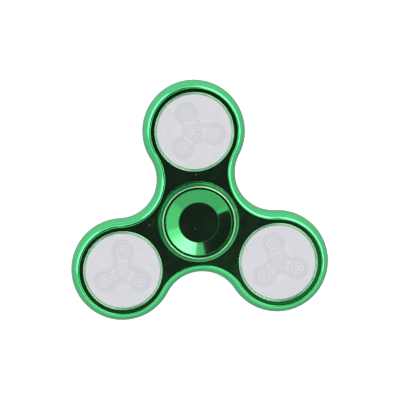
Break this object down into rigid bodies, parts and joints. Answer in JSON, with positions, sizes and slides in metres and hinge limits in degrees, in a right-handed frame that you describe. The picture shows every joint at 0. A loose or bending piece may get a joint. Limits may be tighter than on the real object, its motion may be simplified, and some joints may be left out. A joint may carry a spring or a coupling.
{
  "type": "fidget spinner",
  "caption": "Three-lobed hand spinner with a plated frame, a push-button light pod in each lobe and dished finger caps on a central ball bearing.",
  "frame": {"origin": "on the spin axis, at the middle of the central bearing", "axes": "+Z along the spin axis towards the lens side; +Y towards the first pod; +X to the right seen from the lens side"},
  "size_m": [0.0754, 0.0693, 0.0138],
  "materials": {
    "plated_green": "polished",
    "bearing_steel": "polished",
    "ball_steel": "polished",
    "cage_steel": "satin",
    "shield_steel": "satin",
    "lens_white": "satin",
    "housing_white": "satin",
    "board_green": "satin",
    "led_clear": "gloss",
    "chip_black": "matte",
    "switch_steel": "satin",
    "plunger_black": "satin",
    "contact_brass": "satin",
    "cell_steel": "polished",
    "screw_steel": "satin"
  },
  "bodies": {
    "hub": {"bearing_inner_ring": "bearing_steel", "front_finger_cap": "plated_green", "back_finger_cap": "plated_green"},
    "rotor": {"body_frame": "plated_green", "bearing_outer_ring": "bearing_steel", "front_shield": "shield_steel", "back_shield": "shield_steel", "cover_screws": "screw_steel", "pod_housing_1": "housing_white", "pod_housing_2": "housing_white", "pod_housing_3": "housing_white", "circuit_board_1": "board_green", "circuit_board_2": "board_green", "circuit_board_3": "board_green", "led_set_1": "led_clear", "led_set_2": "led_clear", "led_set_3": "led_clear", "control_chip_1": "chip_black", "control_chip_2": "chip_black", "control_chip_3": "chip_black", "switch_body_1": "switch_steel", "switch_body_2": "switch_steel", "switch_body_3": "switch_steel", "board_contacts_1": "contact_brass", "board_contacts_2": "contact_brass", "board_contacts_3": "contact_brass", "button_cells_1": "cell_steel", "button_cells_2": "cell_steel", "button_cells_3": "cell_steel", "cover_contacts_1": "contact_brass", "cover_contacts_2": "contact_brass", "cover_contacts_3": "contact_brass", "battery_cover_1": "housing_white", "battery_cover_2": "housing_white", "battery_cover_3": "housing_white"},
    "cage": {"cage_front_half": "cage_steel", "cage_back_half": "cage_steel", "cage_rivets": "cage_steel"},
    "ball_1": {"ball_1": "ball_steel"},
    "ball_2": {"ball_2": "ball_steel"},
    "ball_3": {"ball_3": "ball_steel"},
    "ball_4": {"ball_4": "ball_steel"},
    "ball_5": {"ball_5": "ball_steel"},
    "ball_6": {"ball_6": "ball_steel"},
    "ball_7": {"ball_7": "ball_steel"},
    "button_1": {"lens_cap_1": "lens_white", "switch_plunger_1": "plunger_black"},
    "button_2": {"lens_cap_2": "lens_white", "switch_plunger_2": "plunger_black"},
    "button_3": {"lens_cap_3": "lens_white", "switch_plunger_3": "plunger_black"}
  },
  "joints": [
    {"name": "rotor_spin", "type": "hinge", "parent": "hub", "child": "rotor", "pos_m": [0, 0, 0], "axis": [0, 0, 1], "continuous": true},
    {"name": "cage_turn", "type": "hinge", "parent": "hub", "child": "cage", "pos_m": [0, 0, 0], "axis": [0, 0, 1], "continuous": true},
    {"name": "ball_1_roll", "type": "hinge", "parent": "cage", "child": "ball_1", "pos_m": [0.0075, 0, 0], "axis": [0, 0, 1], "continuous": true},
    {"name": "ball_2_roll", "type": "hinge", "parent": "cage", "child": "ball_2", "pos_m": [0.00468, 0.00586, 0], "axis": [0, 0, 1], "continuous": true},
    {"name": "ball_3_roll", "type": "hinge", "parent": "cage", "child": "ball_3", "pos_m": [-0.00167, 0.00731, 0], "axis": [0, 0, 1], "continuous": true},
    {"name": "ball_4_roll", "type": "hinge", "parent": "cage", "child": "ball_4", "pos_m": [-0.00676, 0.00325, 0], "axis": [0, 0, 1], "continuous": true},
    {"name": "ball_5_roll", "type": "hinge", "parent": "cage", "child": "ball_5", "pos_m": [-0.00676, -0.00325, 0], "axis": [0, 0, 1], "continuous": true},
    {"name": "ball_6_roll", "type": "hinge", "parent": "cage", "child": "ball_6", "pos_m": [-0.00167, -0.00731, 0], "axis": [0, 0, 1], "continuous": true},
    {"name": "ball_7_roll", "type": "hinge", "parent": "cage", "child": "ball_7", "pos_m": [0.00468, -0.00586, 0], "axis": [0, 0, 1], "continuous": true},
    {"name": "button_1_press", "type": "slide", "parent": "rotor", "child": "button_1", "axis": [0, 0, 1], "range_m": [-0.0005, 0], "stiffness_N_per_m": 1200, "springref_m": 0.0002},
    {"name": "button_2_press", "type": "slide", "parent": "rotor", "child": "button_2", "axis": [0, 0, 1], "range_m": [-0.0005, 0], "stiffness_N_per_m": 1200, "springref_m": 0.0002},
    {"name": "button_3_press", "type": "slide", "parent": "rotor", "child": "button_3", "axis": [0, 0, 1], "range_m": [-0.0005, 0], "stiffness_N_per_m": 1200, "springref_m": 0.0002}
  ],
  "couplings": [
    {"joint": "cage_turn", "follows": "rotor_spin", "ratio": 0.6323},
    {"joint": "ball_1_roll", "follows": "rotor_spin", "ratio": 1.7573},
    {"joint": "ball_2_roll", "follows": "rotor_spin", "ratio": 1.7573},
    {"joint": "ball_3_roll", "follows": "rotor_spin", "ratio": 1.7573},
    {"joint": "ball_4_roll", "follows": "rotor_spin", "ratio": 1.7573},
    {"joint": "ball_5_roll", "follows": "rotor_spin", "ratio": 1.7573},
    {"joint": "ball_6_roll", "follows": "rotor_spin", "ratio": 1.7573},
    {"joint": "ball_7_roll", "follows": "rotor_spin", "ratio": 1.7573}
  ]
}
